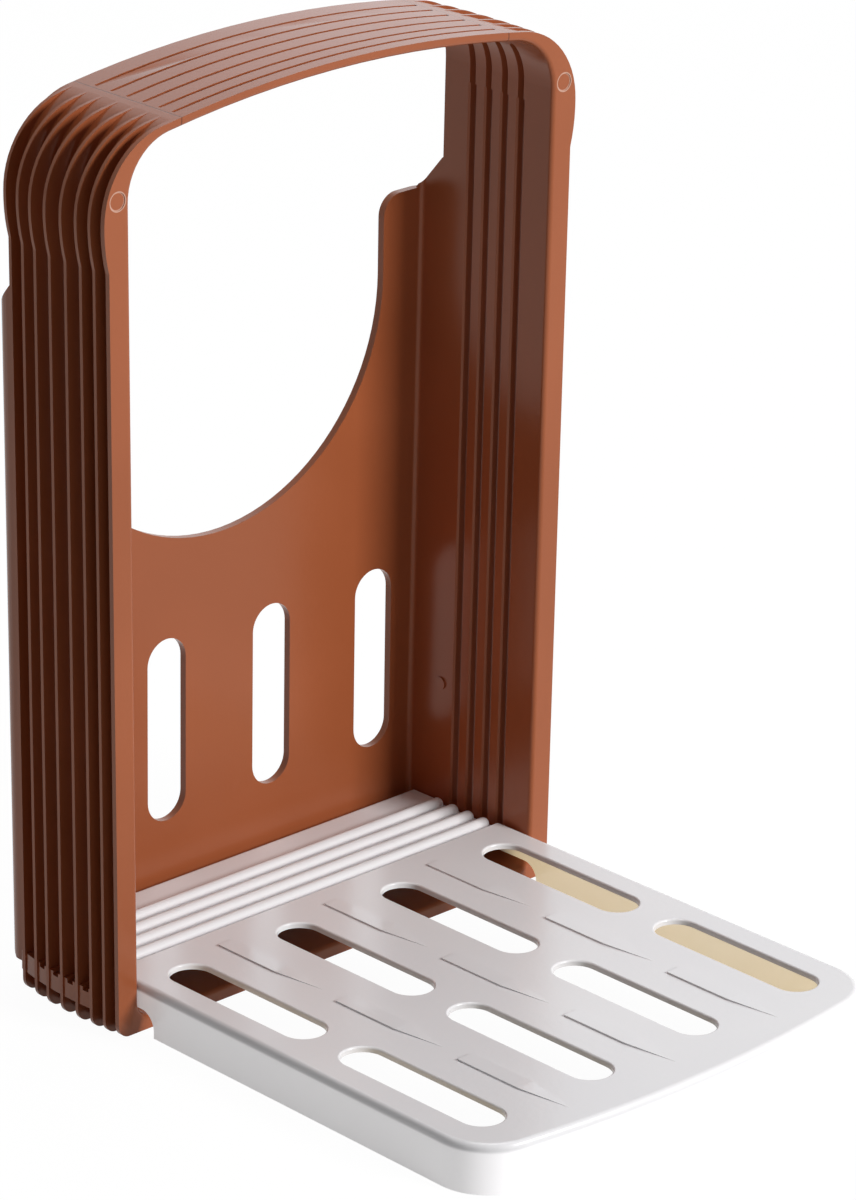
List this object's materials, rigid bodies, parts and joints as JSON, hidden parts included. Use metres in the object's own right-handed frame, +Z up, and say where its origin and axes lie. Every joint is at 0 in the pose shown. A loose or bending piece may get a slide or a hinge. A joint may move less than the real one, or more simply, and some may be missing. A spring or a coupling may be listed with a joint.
{
  "type": "bread slicer guide",
  "caption": "Folding bread slicing guide: arched frame of slotted hoops with a cut-out back plate, and a hinged slotted table with a skirt that folds up into the frame.",
  "frame": {"origin": "on the worktop, under the middle of the hoops", "axes": "+Z up, -Y towards the front edge of the bread table, +X to the right as seen from the front"},
  "size_m": [0.1372, 0.1526, 0.206],
  "materials": {
    "brown_plastic": "gloss",
    "white_plastic": "gloss"
  },
  "bodies": {
    "frame": {"guide_frame": "brown_plastic"},
    "table": {"bread_table": "white_plastic"}
  },
  "joints": [
    {"name": "table_fold", "type": "hinge", "parent": "frame", "child": "table", "pos_m": [0, 0.0172, 0.008], "axis": [-1, 0, 0], "range_deg": [0, 90]}
  ]
}
